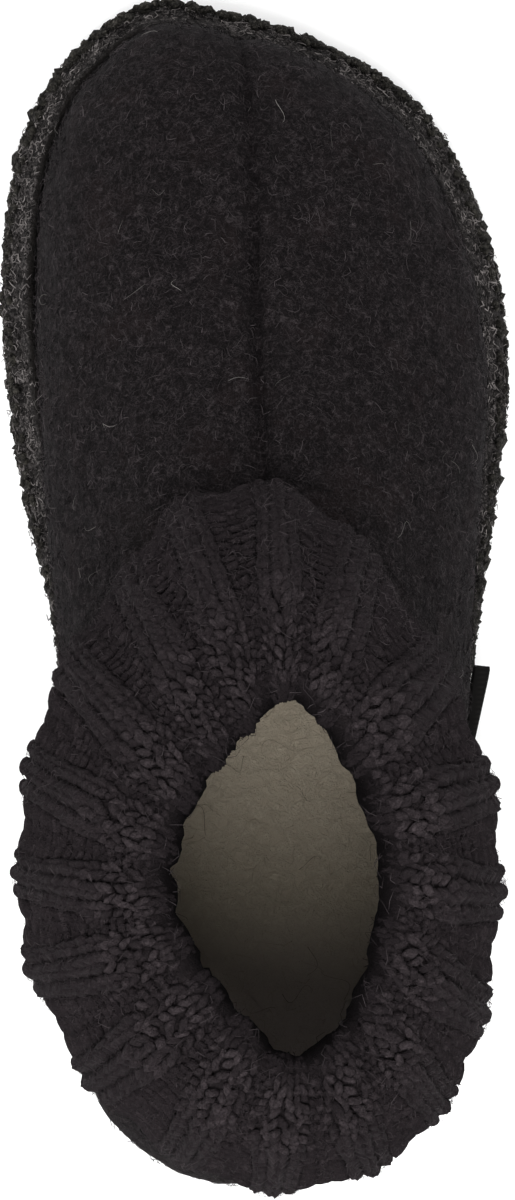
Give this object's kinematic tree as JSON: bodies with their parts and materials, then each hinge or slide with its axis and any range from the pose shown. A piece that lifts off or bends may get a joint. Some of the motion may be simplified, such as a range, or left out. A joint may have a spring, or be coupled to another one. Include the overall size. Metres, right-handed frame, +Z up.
{
  "type": "slipper boot",
  "caption": "Right-foot slipper boot of dark felted wool on a foot-shaped sole with a looped-wool band, open at the collar inside a folded wide-rib knit cuff.",
  "frame": {"origin": "on the floor under the middle of the slipper's box", "axes": "+Y from heel to toe, +X to the outer side of the right foot, +Z up"},
  "size_m": [0.0786, 0.1806, 0.0957],
  "materials": {
    "outsole": "matt knobbly natural rubber, near black with an olive cast",
    "sole_band": "looped wool, charcoal",
    "upper_felt": "hairy felted wool, black",
    "cuff_knit": "wide-rib wool knit, black",
    "insole_felt": "pale grey-beige wool felt",
    "tab_ribbon": "plain woven ribbon, black"
  },
  "bodies": {
    "root": {"outsole": "outsole", "sole_band": "sole_band", "upper": "upper_felt", "cuff": "cuff_knit", "insole": "insole_felt", "side_tab": "tab_ribbon"}
  },
  "joints": []
}
